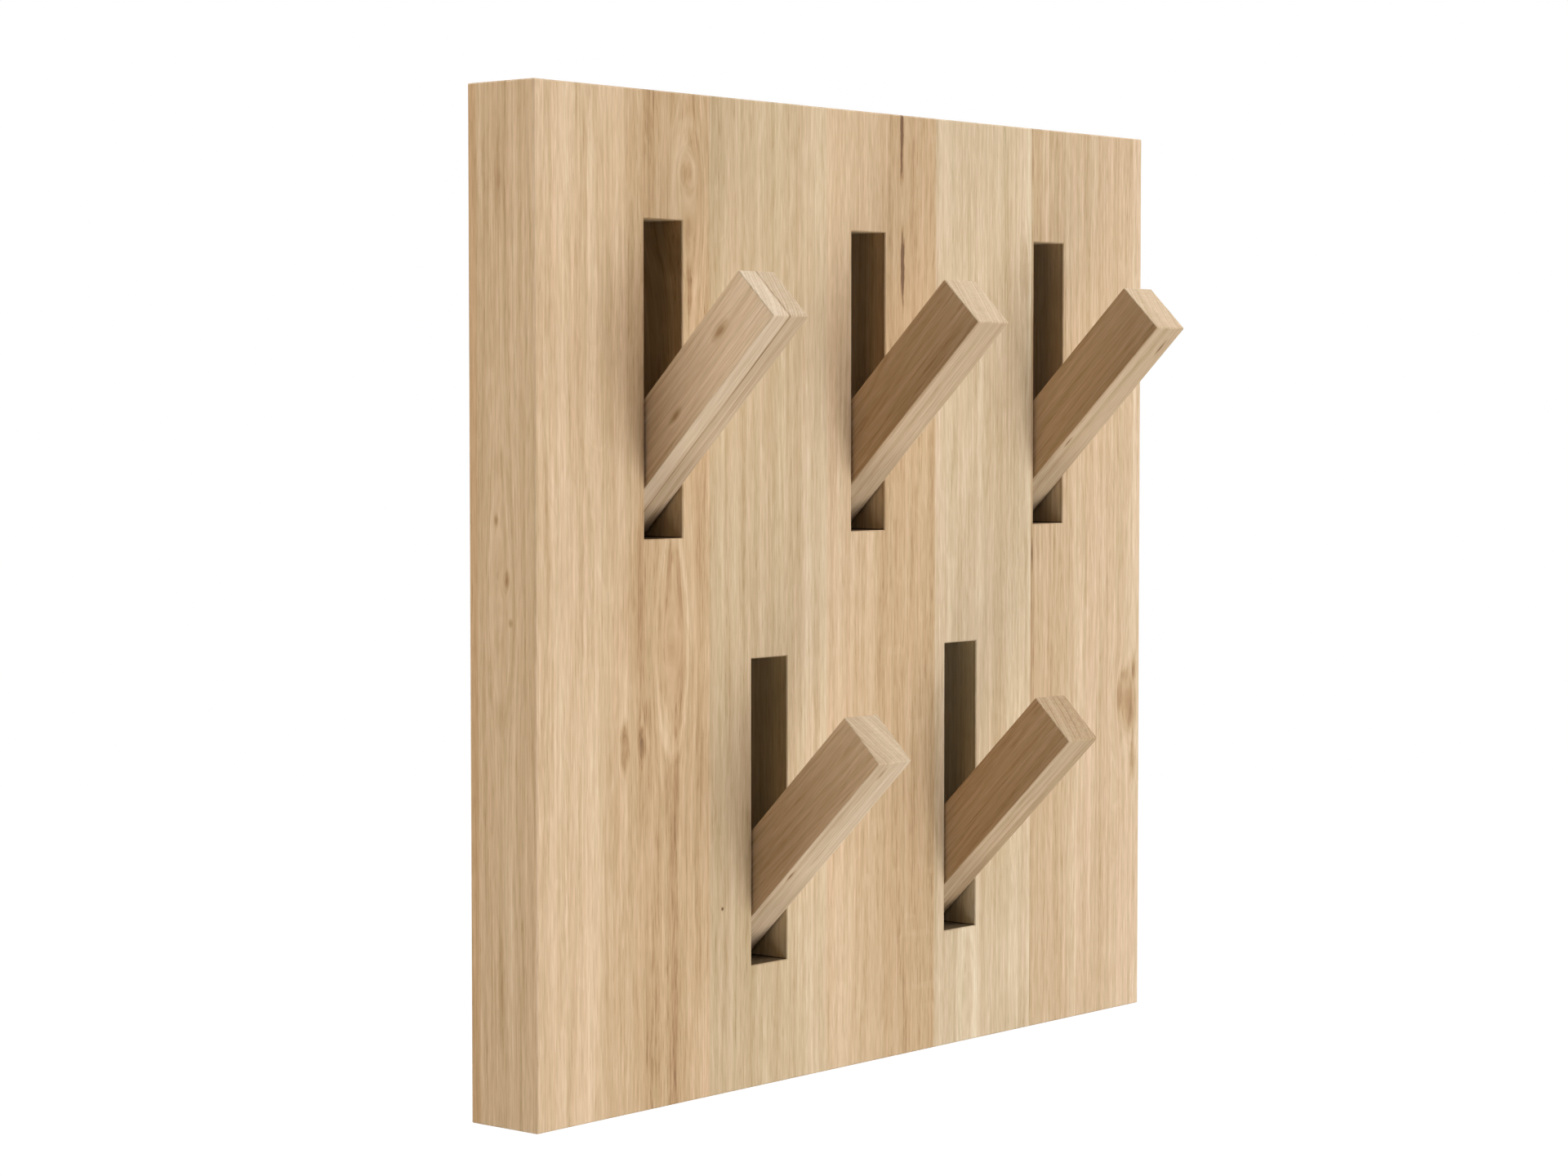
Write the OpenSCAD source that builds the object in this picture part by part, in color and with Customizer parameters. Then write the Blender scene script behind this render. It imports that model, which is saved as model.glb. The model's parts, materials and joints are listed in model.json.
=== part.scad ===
// Wall rack with folding hooks.
//
// A square board of edge-glued oak staves carries five square hook bars. Folded, each bar lies
// flush with the board in a blind slot. Drawn forward by its top it leans out over the slot's
// mouth, until the flat cut on its heel lands on the slot's back wall and carries the load.
//
// Origin: middle of the board's back face. X runs right, Y into the wall, Z up.
// The hooks are drawn open, as the rack is used.

/* [Board] */
// Width of the board
board_w = 288; // [284:1:300]
// Height of the board
board_h = 288; // [282:1:310]
// Thickness of the board
board_t = 25.5; // [25:0.5:30]
// Flat that breaks the sharp edges of the board and the hooks
edge_break = 0.4; // [0.2:0.1:0.8]
// First glue joint, counted from the left
joint_1 = -72.5; // [-78:0.5:-64]
// Second glue joint
joint_2 = -19.8; // [-26:0.1:-14]
// Third glue joint
joint_3 = 32.9; // [22:0.1:34]
// Fourth glue joint
joint_4 = 82.7; // [76:0.1:82.7]

/* [Slots] */
// Width of a slot
slot_w = 16; // [15.5:0.1:17]
// Height of a slot
slot_h = 90; // [80:1:94]
// Distance between the middles of two slots in one row
slot_pitch = 92; // [92:0.5:98]
// Height of the upper slots' floor over the board's middle
upper_floor = 18; // [8:1:24]
// Height of the lower slots' floor over the board's middle
lower_floor = -108; // [-114:1:-102]

/* [Hooks] */
// Width of a hook bar
hook_w = 15; // [13:0.1:15]
// Depth of a hook bar from front to back, when folded
hook_t = 18; // [16:0.5:18]
// Angle that an open hook leans out from the board
open_angle = 45; // [40:1:48]

/* [Pivots] */
// Height of a pivot over its slot's floor
pivot_h = 18.5; // [16:0.5:24]
// Diameter of a pivot pin
pin_d = 6; // [4:0.5:6]
// Length of a pivot pin
pin_len = 36; // [30:1:36]
// Room between a pin and the bore of its hook, all round
pin_play = 0.05; // [0.02:0.01:0.1]
// Outer diameter of a side washer
washer_d = 12; // [10:0.5:14]

/* [Wall hangers] */
// Distance of each hanger from the board's middle
hanger_x = 122; // [118:1:128]
// Height of the hangers' middle over the board's middle
hanger_z = 100; // [60:1:110]
// Width of a hanger plate
plate_w = 16; // [15:0.5:18]
// Length of a hanger plate
plate_len = 42; // [40:1:46]
// Thickness of a hanger plate
plate_t = 2; // [1.5:0.1:2.5]
// Diameter of the round hole that lets a wall screw's head in
keyhole_d = 9; // [8:0.5:10]
// Width of the slit that a wall screw's shank slides up
keyhole_slit = 4.6; // [4:0.1:5]
// Length of the slit, from the round hole's middle to its end's middle
keyhole_rise = 8.5; // [7:0.5:9]

/* [Hidden] */

$fn = 48;
skin = 0.01;                                   // how far a cutter stands past the face it opens
fold_gap = 0.2;                                // air behind a hook's back, folded, and its heel, open
mouth_break = 0.3;                             // flat round the mouth of a slot
tip_air = 0.8;                                 // air over a folded hook's tip
tail_air = 0.4;                                // air that a tail's corner keeps off the slot's floor
washer_air = 0.04;                             // air between a washer and its hook
slot_depth = hook_t + fold_gap;
pivot_y = -board_t + hook_t / 2;               // a pivot lies in the middle of a folded bar
washer_t = (slot_w - hook_w) / 2 - washer_air;

// a bar's length over its pivot, and under it, where its front corner just swings past the floor
hook_reach = slot_h - pivot_h - tip_air;
hook_tail = sqrt(pow(pivot_h - tail_air, 2) - pow(hook_t / 2, 2));

// upper row: hooks 1 to 3; lower row: hooks 4 and 5, midway between them
hook_x = [-slot_pitch, 0, slot_pitch, -slot_pitch / 2, slot_pitch / 2];
floor_z = [upper_floor, upper_floor, upper_floor, lower_floor, lower_floor];
HOOKS = [0 : 4];

inner_joints = [joint_1, joint_2, joint_3, joint_4];
stave_ends = concat([-board_w / 2], inner_joints, [board_w / 2]);

// hanger details
seat_gap = 0.15;                               // room between a plate and the wood round it
plate_sink = 0.3;                              // how far a plate lies under the board's back
head_room = 7;                                 // depth of the hollow behind a keyhole
head_room_w = 12;                              // and its width
screw_d = 3;
screw_head_d = 6;
screw_head_h = 1.6;
screw_len = 12;
screw_offset = plate_len / 2 - 5.5;            // of each screw from its plate's middle
head_room_len = 2 * screw_offset - screw_head_d - 1;
keyhole_drop = 4;                              // of the round hole under its plate's middle

oak_tints = [[0.80, 0.68, 0.54], [0.82, 0.71, 0.57], [0.81, 0.69, 0.54],
             [0.85, 0.75, 0.62], [0.83, 0.72, 0.58]];
hook_tints = [[0.84, 0.73, 0.60], [0.82, 0.71, 0.57], [0.82, 0.71, 0.57],
              [0.84, 0.74, 0.61], [0.78, 0.66, 0.52]];

// the glue joint nearest to a place on the board
function joint_by(x) = let (gap = min([for (j = inner_joints) abs(j - x)]))
    [for (j = inner_joints) if (abs(j - x) == gap) j][0];

// ---------------------------------------------------------------- helpers

// a rectangle centred on the origin, with its four corners cut off
module cut_corner_rect(w, h, cut) {
    polygon([[cut - w / 2, -h / 2], [w / 2 - cut, -h / 2], [w / 2, cut - h / 2], [w / 2, h / 2 - cut],
             [w / 2 - cut, h / 2], [cut - w / 2, h / 2], [-w / 2, h / 2 - cut], [-w / 2, cut - h / 2]]);
}

// a block centred on the origin, with every edge broken by a small flat
module eased_block(w, t, h, cut) {
    intersection() {
        linear_extrude(h, center = true) cut_corner_rect(w, t, cut);
        rotate([90, 0, 0]) linear_extrude(t, center = true) cut_corner_rect(w, h, cut);
        rotate([90, 0, 90]) linear_extrude(w, center = true) cut_corner_rect(t, h, cut);
    }
}

// a bar with half-round ends, long way up, lying in the XZ plane from y = 0 to y = t
module stadium_plate(w, h, t) {
    rotate([90, 0, 0]) translate([0, 0, -t]) linear_extrude(t) {
        square([w, h - w], center = true);
        for (end = [-1, 1]) translate([0, end * (h - w) / 2]) circle(d = w);
    }
}

// puts its children at a hook's pivot
module at_pivot(k) {
    translate([hook_x[k], pivot_y, floor_z[k] + pivot_h]) children();
}

// puts its children at a hanger plate's middle, on the board's back face
module at_hanger(side) {
    translate([side * hanger_x, 0, hanger_z]) children();
}

// ---------------------------------------------------------------- board

// one blind slot, with a small flat all round its mouth
module slot_cut(k) {
    grow = 2 * (mouth_break + skin);
    translate([hook_x[k], -board_t, floor_z[k] + slot_h / 2]) {
        translate([-slot_w / 2, -skin, -slot_h / 2]) cube([slot_w, slot_depth + skin, slot_h]);
        intersection() {
            mouth_wedge(slot_w, slot_h + grow);
            rotate([0, 90, 0]) mouth_wedge(slot_h, slot_w + grow);
        }
    }
}

// a long wedge on the board's front, as wide as a mouth and its flats at the face
module mouth_wedge(w, length) {
    reach = mouth_break + skin;
    linear_extrude(length, center = true)
        polygon([[-w / 2 - reach, -skin], [w / 2 + reach, -skin], [w / 2, mouth_break],
                 [-w / 2, mouth_break]]);
}

// the hole for a pivot pin, drilled in from the nearest glue joint before the staves are glued
module pin_hole(k) {
    near = joint_by(hook_x[k]) - hook_x[k];
    low = min(near, -pin_len / 2);
    high = max(near, pin_len / 2);
    at_pivot(k) translate([low, 0, 0]) rotate([0, 90, 0]) cylinder(d = pin_d, h = high - low);
}

// the seat for one hanger plate: its recess, the hollow for a wall screw's head, two pilot holes
module hanger_seat(side) {
    recess = plate_t + plate_sink;
    at_hanger(side) {
        translate([0, -recess, 0])
            stadium_plate(plate_w + 2 * seat_gap, plate_len + 2 * seat_gap, recess + skin);
        translate([0, -recess - head_room, 0])
            stadium_plate(head_room_w, head_room_len, head_room + skin);
        for (end = [-1, 1]) translate([0, -plate_sink, end * screw_offset])
            rotate([90, 0, 0]) cylinder(d = screw_d, h = screw_len);
    }
}

// one stave of the board, from one joint to the next
module stave(i) {
    left = stave_ends[i];
    color(oak_tints[i]) difference() {
        intersection() {
            translate([0, -board_t / 2, 0]) eased_block(board_w, board_t, board_h, edge_break);
            translate([left, -board_t - 1, -board_h / 2 - 1])
                cube([stave_ends[i + 1] - left, board_t + 2, board_h + 2]);
        }
        for (k = HOOKS) {
            slot_cut(k);
            pin_hole(k);
        }
        for (side = [-1, 1]) hanger_seat(side);
    }
}

// ---------------------------------------------------------------- folding hooks

// side view of a folded bar, about its pivot: y to the wall, z up.
// The heel's flat lies as far from the pivot as the bar's back does, so either one meets the
// slot's back wall. A round of the same radius joins them, and rolls past that wall as the bar
// swings, while the short tail clears the slot's floor.
module bar_profile() {
    half = hook_t / 2;
    heel_foot = (half - hook_tail * sin(open_angle)) / cos(open_angle);
    circle(r = half);
    translate([-half, 0]) square([hook_t, hook_reach]);
    polygon([[-half, 0], [-half, -hook_tail], [heel_foot, -hook_tail],
             [half * cos(open_angle), -half * sin(open_angle)], [0, 0]]);
}

// a folded bar about its pivot
module folded_bar() {
    length = hook_reach + hook_tail;
    difference() {
        intersection() {
            rotate([90, 0, 90]) linear_extrude(hook_w, center = true) bar_profile();
            translate([0, 0, (hook_reach - hook_tail) / 2]) eased_block(hook_w, hook_t, length, edge_break);
        }
        rotate([0, 90, 0]) cylinder(d = pin_d + 2 * pin_play, h = hook_w + 2, center = true);
    }
}

module hook(k) {
    color(hook_tints[k]) at_pivot(k) rotate([open_angle, 0, 0]) folded_bar();
}

module pivot_pin(k) {
    color("silver") at_pivot(k) rotate([0, 90, 0])
        cylinder(d = pin_d, h = pin_len, center = true);
}

// two thin washers that keep a hook off its slot's cheeks
module side_washers(k) {
    color("saddlebrown") at_pivot(k)
        for (side = [-1, 1]) translate([side * (slot_w - washer_t) / 2, 0, 0]) rotate([0, 90, 0])
            difference() {
                cylinder(d = washer_d, h = washer_t, center = true);
                cylinder(d = pin_d + 2 * pin_play, h = washer_t + 1, center = true);
            }
}

// ---------------------------------------------------------------- wall hangers

// a screw's outline, turned about its axis: flat head up, then the shank and its point
module screw_body() {
    point = 3;
    rotate_extrude()
        polygon([[0, 0], [screw_head_d / 2, 0], [screw_head_d / 2, -0.3], [screw_d / 2, -screw_head_h],
                 [screw_d / 2, point - screw_len], [0, -screw_len]]);
}

// the cone that a screw's head sinks into
module head_sink() {
    rotate_extrude()
        polygon([[0, skin], [screw_head_d / 2, skin], [screw_head_d / 2, -0.3],
                 [screw_d / 2, -screw_head_h], [screw_d / 2, -plate_t - 1], [0, -plate_t - 1]]);
}

module hanger_plate(side) {
    color("gainsboro") at_hanger(side) translate([0, -plate_sink, 0]) difference() {
        translate([0, -plate_t, 0]) stadium_plate(plate_w, plate_len, plate_t);
        translate([0, 1, -keyhole_drop]) rotate([90, 0, 0]) cylinder(d = keyhole_d, h = plate_t + 2);
        translate([0, 1, keyhole_rise - keyhole_drop]) rotate([90, 0, 0])
            cylinder(d = keyhole_slit, h = plate_t + 2);
        translate([-keyhole_slit / 2, -plate_t - 1, -keyhole_drop])
            cube([keyhole_slit, plate_t + 2, keyhole_rise]);
        for (end = [-1, 1]) translate([0, 0, end * screw_offset]) rotate([-90, 0, 0]) head_sink();
    }
}

module hanger_screws() {
    color("lightslategray") for (side = [-1, 1]) at_hanger(side)
        for (end = [-1, 1]) translate([0, -plate_sink, end * screw_offset]) rotate([-90, 0, 0])
            difference() {
                screw_body();
                for (turn = [0, 90]) rotate([0, 0, turn]) cube([3.6, 0.7, 2], center = true);
            }
}

// ---------------------------------------------------------------- parts

stave(0);  // stave_1
stave(1);  // stave_2
stave(2);  // stave_3
stave(3);  // stave_4
stave(4);  // stave_5
hook(0);  // hook_1
hook(1);  // hook_2
hook(2);  // hook_3
hook(3);  // hook_4
hook(4);  // hook_5
pivot_pin(0);  // pivot_pin_1
pivot_pin(1);  // pivot_pin_2
pivot_pin(2);  // pivot_pin_3
pivot_pin(3);  // pivot_pin_4
pivot_pin(4);  // pivot_pin_5
side_washers(0);  // side_washers_1
side_washers(1);  // side_washers_2
side_washers(2);  // side_washers_3
side_washers(3);  // side_washers_4
side_washers(4);  // side_washers_5
hanger_plate(-1);  // hanger_plate_left
hanger_plate(1);  // hanger_plate_right
hanger_screws();
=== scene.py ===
# %% [markdown]
# # A folding hook rack in oiled oak
#
# The rack is a square board, glued up from five oak staves, with five square hook bars that fold
# out of slots. Its construction is already solid geometry, so this lesson is mostly about wood:
# how one solid oak pattern can give every face its grain, how it bends round a knot, and how
# each stave gets its own tone. All lengths are in metres unless a name says otherwise.

# %% Load the finished construction
import json
import math

import bmesh
import bpy
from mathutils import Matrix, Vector


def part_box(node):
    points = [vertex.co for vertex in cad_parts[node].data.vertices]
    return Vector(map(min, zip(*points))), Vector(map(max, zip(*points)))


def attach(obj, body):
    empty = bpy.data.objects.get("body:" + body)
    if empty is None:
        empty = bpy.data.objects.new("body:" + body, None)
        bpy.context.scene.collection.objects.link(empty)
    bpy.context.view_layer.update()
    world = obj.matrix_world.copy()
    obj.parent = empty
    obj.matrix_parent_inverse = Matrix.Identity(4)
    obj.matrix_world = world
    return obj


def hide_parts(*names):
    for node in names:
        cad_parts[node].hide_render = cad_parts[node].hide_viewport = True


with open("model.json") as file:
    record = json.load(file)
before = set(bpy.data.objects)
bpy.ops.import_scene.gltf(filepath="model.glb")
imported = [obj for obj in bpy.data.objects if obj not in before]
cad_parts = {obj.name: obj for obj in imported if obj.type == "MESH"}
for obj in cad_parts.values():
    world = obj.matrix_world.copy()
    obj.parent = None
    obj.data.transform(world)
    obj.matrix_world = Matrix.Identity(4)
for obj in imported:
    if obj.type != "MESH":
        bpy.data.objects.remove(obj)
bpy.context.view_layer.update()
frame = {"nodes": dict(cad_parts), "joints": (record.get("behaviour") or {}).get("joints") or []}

scene = bpy.context.scene
scene.view_settings.view_transform = "Standard"

# %% [markdown]
# ## The camera
#
# A rack like this is best seen from its left front, at the height of its middle: one face shows
# the staves and slots, the narrow edge shows how thick the board is, and the open hooks stand
# out against the board. A long lens from about a metre away keeps the upright edges nearly
# parallel.

# %% Place the camera
camera_data = bpy.data.cameras.new("camera")
camera_data.sensor_width = 36
camera_data.lens = 82.02
camera = bpy.data.objects.new("camera", camera_data)
camera.location = (-0.84039, -0.70459, 0.05387)
camera.rotation_euler = (math.radians(90 - 2.824), 0, math.radians(-49.707))
scene.collection.objects.link(camera)
scene.camera = camera
print("camera stands", round(camera.location.length, 3), "m from the board's middle")

# %% [markdown]
# ## A white room that lights nothing by itself
#
# The rack hangs in front of white. If that white also lit the wood, every face would get the
# same light and the hooks would look flat. So the world asks which kind of ray meets it: what
# the camera or a mirror-like surface sees is plain white, and all other rays meet only a dim
# grey. The floor lies far below, as it does under a rack on a wall, and throws little light back
# up. It keeps a soft shadow near the middle and fades to white further out.

# %% Build small helpers for node trees
def add_node(tree, kind, inputs=None, **options):
    """Adds a node, sets its options, then fills each input with a value or links it to a socket."""
    made = tree.nodes.new("ShaderNode" + kind)
    for option, value in options.items():
        setattr(made, option, value)
    for key, value in (inputs or {}).items():
        if isinstance(value, bpy.types.NodeSocket):
            tree.links.new(value, made.inputs[key])
        else:
            made.inputs[key].default_value = value
    return made


def calc(tree, operation, *values):
    """One step of arithmetic on numbers."""
    return add_node(tree, "Math", dict(enumerate(values)), operation=operation).outputs[0]


def vector_calc(tree, operation, *values):
    """One step of arithmetic on vectors."""
    return add_node(tree, "VectorMath", dict(enumerate(values)), operation=operation).outputs[0]


def length_of(tree, vector):
    return add_node(tree, "VectorMath", {0: vector}, operation="LENGTH").outputs["Value"]


def spread(tree, value, low, high, start=0.0, end=1.0, **options):
    """Carries the range from low to high over to the range from start to end."""
    inputs = {"Value": value, "From Min": low, "From Max": high, "To Min": start, "To Max": end}
    return add_node(tree, "MapRange", inputs, **options).outputs[0]


def smooth_step(tree, value, low, high, start=0.0, end=1.0):
    """Goes softly from start to end while the value goes from low to high."""
    return spread(tree, value, low, high, start, end, interpolation_type="SMOOTHSTEP")


def seen_rays(tree):
    """1 for the rays that show the white room: straight from the camera, or off gloss or glass."""
    path = add_node(tree, "LightPath")
    seen = calc(tree, "MAXIMUM", path.outputs["Is Camera Ray"], path.outputs["Is Glossy Ray"])
    return calc(tree, "MAXIMUM", seen, path.outputs["Is Transmission Ray"])


# %% Make the white world
AMBIENT = 0.005

world = bpy.data.worlds.new("white_room")
world.use_nodes = True
scene.world = world
tree = world.node_tree
strength = spread(tree, seen_rays(tree), 0.0, 1.0, AMBIENT, 1.0)
tree.links.new(strength, tree.nodes["Background"].inputs["Strength"])
tree.nodes["Background"].inputs["Color"].default_value = (1, 1, 1, 1)
print("world: white to the eye, ambient light", AMBIENT)

# %% Lay the floor
FLOOR_LEVEL = -1.5
SHADOW_REACH, WHITE_FROM = 0.6, 2.6
SHADOW_GLOW = 0.80

bpy.ops.object.select_all(action="DESELECT")
bpy.ops.mesh.primitive_circle_add(vertices=64, radius=14, fill_type="NGON", location=(0, 0, FLOOR_LEVEL))
floor = bpy.context.object
floor.name = "floor"

floor_paint = bpy.data.materials.new("floor_paint")
floor_paint.use_nodes = True
tree = floor_paint.node_tree
place = add_node(tree, "TexCoord").outputs["Object"]
glow = smooth_step(tree, length_of(tree, place), SHADOW_REACH, WHITE_FROM, SHADOW_GLOW, 1.0)
paint = tree.nodes["Principled BSDF"]
paint.inputs["Base Color"].default_value = (0.30, 0.30, 0.29, 1)
paint.inputs["Roughness"].default_value = 0.8
paint.inputs["Specular IOR Level"].default_value = 0.1
paint.inputs["Emission Color"].default_value = (1, 1, 1, 1)
tree.links.new(calc(tree, "MULTIPLY", glow, seen_rays(tree)), paint.inputs["Emission Strength"])
floor.data.materials.append(floor_paint)
print("floor at", FLOOR_LEVEL)

# %% [markdown]
# ## Soft lamps
#
# All lamps are soft discs, 0.9 m wide, on a sphere round the rack. Most stand in front and to the
# right, from low to high, and light the board's face, the hooks' undersides and their ends. Two
# stand behind on the left and light the board's narrow edge, and one hangs high behind the back,
# where the steel plates don't mirror it into view. The space round the camera stays dark, so the
# left cheeks of the hooks, which turn that way, get little more than what the warm board throws
# back. That turns them deep brown, although their wood is nearly as pale as the rest; a warm shade
# painted on the cheeks in the bars' finish adds a little more.

# %% Hang the lamps
LAMP_WIDTH, LAMP_FAR = 0.9, 1.3

# name: (turn from the front towards the right, rise, watts)
LAMPS = {
    "front_low": (15, -15, 6.9),
    "front_right": (30, 15, 5.2),
    "front_high": (15, 50, 5.7),
    "under_front": (-15, -50, 5.8),
    "left": (-115, 0, 4.1),
    "left_high": (-105, 15, 6.9),
    "right_high": (105, 50, 12.5),
    "behind": (180, 38, 9.5),
}

board_middle = Vector((0, -0.02, 0))
for lamp_name, (turn, rise, watts) in LAMPS.items():
    lamp_data = bpy.data.lights.new(lamp_name, "AREA")
    lamp_data.shape, lamp_data.size, lamp_data.energy = "DISK", LAMP_WIDTH, watts
    lamp = bpy.data.objects.new(lamp_name, lamp_data)
    turn, rise = math.radians(turn), math.radians(rise)
    level = math.cos(rise)
    towards = Vector((math.sin(turn) * level, -math.cos(turn) * level, math.sin(rise)))
    lamp.location = board_middle + LAMP_FAR * towards
    lamp.rotation_euler = towards.to_track_quat("Z", "Y").to_euler()
    scene.collection.objects.link(lamp)
print("lamps:", ", ".join(LAMPS))

# %% [markdown]
# ## The hook bar, as a joiner makes it
#
# A bar starts as a square stick: here a cube, stretched to size and standing folded about its
# pivot. One saw cut takes the corner off the heel, which is `bisect` with the waste thrown away.
# The edge left between that flat and the back has to roll past the slot's wall as the hook
# swings, so it is rounded about the pivot. Easing the edges and boring the hole are modifiers,
# applied at once, in that order: a bevel after the bore would tear the cheek's one big face. One
# bar is made, and each hook gets a copy with a mesh of its own.

# %% Write the workshop's helpers
ROD_SIDES, LATHE_SIDES = 48, 32


def open_for_edit(obj):
    """Selects one object alone and opens it in edit mode, with nothing in it selected."""
    bpy.ops.object.select_all(action="DESELECT")
    obj.select_set(True)
    bpy.context.view_layer.objects.active = obj
    bpy.ops.object.mode_set(mode="EDIT")
    bpy.ops.mesh.select_mode(type="EDGE")
    bpy.ops.mesh.select_all(action="DESELECT")
    return bmesh.from_edit_mesh(obj.data)


def close_edit():
    bpy.ops.object.mode_set(mode="OBJECT")


def add_block(name, size, middle):
    """A block of that size, with its place in its mesh."""
    bpy.ops.object.select_all(action="DESELECT")
    bpy.ops.mesh.primitive_cube_add(size=1, location=middle, scale=size)
    block = bpy.context.object
    block.name = name
    bpy.ops.object.transform_apply(location=True, rotation=True, scale=True)
    return block


def add_rod(name, radius, length, middle, turn=(0, 0, 0)):
    """A rod that stands along Z before it is turned, with its place in its mesh."""
    bpy.ops.object.select_all(action="DESELECT")
    bpy.ops.mesh.primitive_cylinder_add(vertices=ROD_SIDES, radius=radius, depth=length,
                                        location=middle, rotation=turn)
    rod = bpy.context.object
    rod.name = name
    bpy.ops.object.transform_apply(location=True, rotation=True, scale=True)
    return rod


def turn_on_lathe(name, profile):
    """A turned piece along Z: a disc, drawn out ring by ring through (radius, height) pairs."""
    bpy.ops.object.select_all(action="DESELECT")
    (radius, height), *rings = profile
    bpy.ops.mesh.primitive_circle_add(vertices=LATHE_SIDES, radius=radius, fill_type="NGON",
                                      location=(0, 0, height))
    piece = bpy.context.object
    piece.name = name
    bpy.ops.object.transform_apply(location=True, rotation=True, scale=True)
    bpy.ops.object.mode_set(mode="EDIT")
    bpy.ops.mesh.select_all(action="SELECT")
    for next_radius, next_height in rings:
        bpy.ops.mesh.extrude_region_move(TRANSFORM_OT_translate={"value": (0, 0, next_height - height)})
        bpy.ops.transform.resize(value=(next_radius / radius,) * 3, center_override=(0, 0, next_height))
        radius, height = next_radius, next_height
    bpy.ops.mesh.select_all(action="SELECT")
    bpy.ops.mesh.normals_make_consistent(inside=False)
    bpy.ops.object.mode_set(mode="OBJECT")
    return piece


def settle(obj, location, rotation=(0, 0, 0)):
    """Moves and turns an object, and puts its new place into its mesh."""
    bpy.ops.object.select_all(action="DESELECT")
    obj.select_set(True)
    bpy.context.view_layer.objects.active = obj
    obj.location, obj.rotation_euler = location, rotation
    bpy.ops.object.transform_apply(location=True, rotation=True, scale=True)
    return obj


def copy_of(obj, name):
    """A copy with a mesh of its own."""
    twin = obj.copy()
    twin.data = obj.data.copy()
    twin.name = name
    scene.collection.objects.link(twin)
    return twin


def apply_modifiers(obj):
    bpy.context.view_layer.objects.active = obj
    for modifier in list(obj.modifiers):
        bpy.ops.object.modifier_apply(modifier=modifier.name)


def cut_away(obj, cutter):
    """Takes the cutter's shape out of the object, and clears the cutter away."""
    cut = obj.modifiers.new("cut", "BOOLEAN")
    cut.operation, cut.object = "DIFFERENCE", cutter
    apply_modifiers(obj)
    bpy.data.objects.remove(cutter)


def ease_edges(obj, width):
    """Rounds the sharp edges, as sandpaper does."""
    ease = obj.modifiers.new("ease", "BEVEL")
    ease.width, ease.segments, ease.angle_limit = width, 3, math.radians(30)
    apply_modifiers(obj)


def shade_rounds(obj):
    """Shades the rounds smooth, while the flats beside them stay flat."""
    bpy.ops.object.select_all(action="DESELECT")
    obj.select_set(True)
    bpy.context.view_layer.objects.active = obj
    bpy.ops.object.shade_smooth_by_angle(angle=math.radians(35))
    flats = obj.modifiers.new("flats", "WEIGHTED_NORMAL")
    flats.keep_sharp, flats.weight = True, 100
    apply_modifiers(obj)


# %% Shape one folded bar
OPEN = math.radians(45)
bar_width, bar_depth = 0.015, 0.018
reach, tail = 0.0705, 0.0157
bore = 0.0061
eased = 0.0004
back = bar_depth / 2

bar = add_block("folded_bar", (bar_width, bar_depth, reach + tail), (0, 0, (reach - tail) / 2))
heel_cut = Vector((0, math.sin(OPEN), -math.cos(OPEN)))

open_for_edit(bar)
bpy.ops.mesh.select_all(action="SELECT")
bpy.ops.mesh.bisect(plane_co=back * heel_cut, plane_no=heel_cut, clear_outer=True, use_fill=True)
close_edit()

mesh = open_for_edit(bar)
for edge in mesh.edges:
    ends = [vert.co for vert in edge.verts]
    edge.select = all(abs(end.y - back) < 1e-5 and -0.005 < end.z < 0 for end in ends)
bpy.ops.mesh.bevel(offset=back * math.tan(OPEN / 2), offset_type="OFFSET", segments=10, affect="EDGES")
close_edit()

ease_edges(bar, eased)
cut_away(bar, add_rod("bore", bore / 2, 2 * bar_width, (0, 0, 0), turn=(0, math.radians(90), 0)))
shade_rounds(bar)
print("one bar:", len(bar.data.polygons), "faces, from", [round(v, 4) for v in bar.bound_box[0]],
      "to", [round(v, 4) for v in bar.bound_box[6]])

# %% Hang the five hooks
joints = {joint["child"]: joint for joint in frame["joints"]}
hook_bars = {}
for hook_name, joint in joints.items():
    hook = settle(copy_of(bar, hook_name + "_bar"), joint["pos_m"], (OPEN, 0, 0))
    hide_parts(hook_name)
    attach(hook, hook_name)
    hook_bars[hook_name] = hook
bpy.data.objects.remove(bar)
print("hooks:", ", ".join(hook_bars))

# %% [markdown]
# ## Keyhole plates and their screws
#
# Two pressed steel plates in the back take the wall screws. A plate starts as a thin disc whose
# upper half is moved up and lower half down, which leaves a flat bar with half-round ends. The
# keyhole is two cutters: a narrow bar of that kind for the screw's shank, and a round one for its
# head. Each plate is held by two turned screws: a cone head on a shank, with a cross cut into it.

# %% Press one plate
plate_width, plate_length, plate_thick, sunk = 0.016, 0.042, 0.002, 0.0003
slit_width, head_hole = 0.0046, 0.009
keyhole_low, keyhole_high = -0.004, 0.0045
screw_places = (-0.0155, 0.0155)
HANGER_X, HANGER_Z = 0.122, 0.100
plate_middle = -sunk - plate_thick / 2
TO_WALL = math.radians(90)


def add_stadium(name, width, low, high, thick):
    """A flat bar with half-round ends, whose end centres lie at heights low and high."""
    half_side = math.pi / ROD_SIDES
    shape = add_rod(name, width / 2, thick, (0, plate_middle, 0), (TO_WALL, half_side, 0))
    for end, shift in ((1, high), (-1, low)):
        mesh = open_for_edit(shape)
        for vert in mesh.verts:
            vert.select = vert.co.z * end > 0
        mesh.select_flush_mode()
        bpy.ops.transform.translate(value=(0, 0, shift))
        close_edit()
    return shape


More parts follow.
